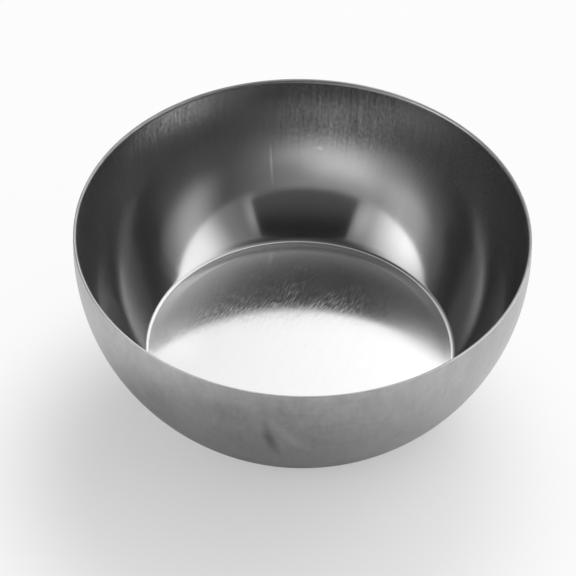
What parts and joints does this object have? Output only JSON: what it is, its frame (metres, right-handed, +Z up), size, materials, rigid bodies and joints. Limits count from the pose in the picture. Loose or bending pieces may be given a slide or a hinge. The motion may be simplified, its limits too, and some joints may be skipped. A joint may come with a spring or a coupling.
{
  "type": "prep bowl",
  "caption": "Small round steel prep bowl with a flat floor, a wall that curves up to upright and a plain trimmed rim.",
  "frame": {"origin": "centre of the flat underside, on the plane that the bowl stands on", "axes": "+Z up along the bowl's axis, from the underside to the open rim; X and Y lie anywhere, because the bowl is round"},
  "size_m": [0.065, 0.065, 0.025],
  "materials": {
    "stainless_steel": "satin drawn stainless sheet, brighter inside, with fine forming lines"
  },
  "bodies": {
    "root": {"bowl": "stainless_steel"}
  },
  "joints": []
}
